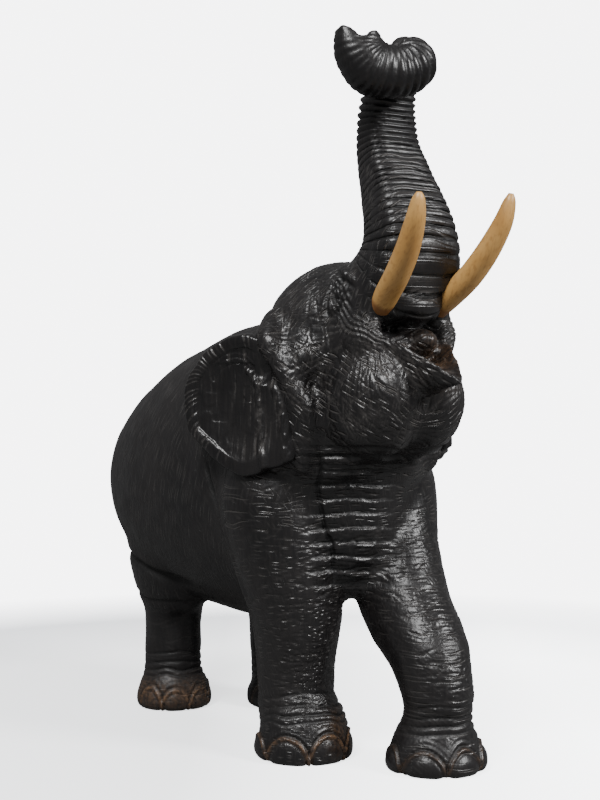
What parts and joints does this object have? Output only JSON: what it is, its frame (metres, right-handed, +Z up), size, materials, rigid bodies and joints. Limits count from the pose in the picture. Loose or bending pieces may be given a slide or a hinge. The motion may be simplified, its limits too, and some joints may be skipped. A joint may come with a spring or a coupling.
{
  "type": "carved wooden elephant",
  "caption": "Free-standing elephant figurine carved from dark wood, striding with its trunk raised and curled over, ears spread, with pale wooden tusks glued into sockets.",
  "frame": {"origin": "on the surface it stands on, under the middle of its bounding box", "axes": "+Z up, the elephant faces -Y, its left side is +X"},
  "size_m": [0.13, 0.2509, 0.2985],
  "materials": {
    "dark_wood": "ebonised and waxed, tool marks left on",
    "pale_wood": "sanded smooth, clear wax"
  },
  "bodies": {
    "root": {"carved_body": "dark_wood", "tusk_left": "pale_wood", "tusk_right": "pale_wood"}
  },
  "joints": []
}
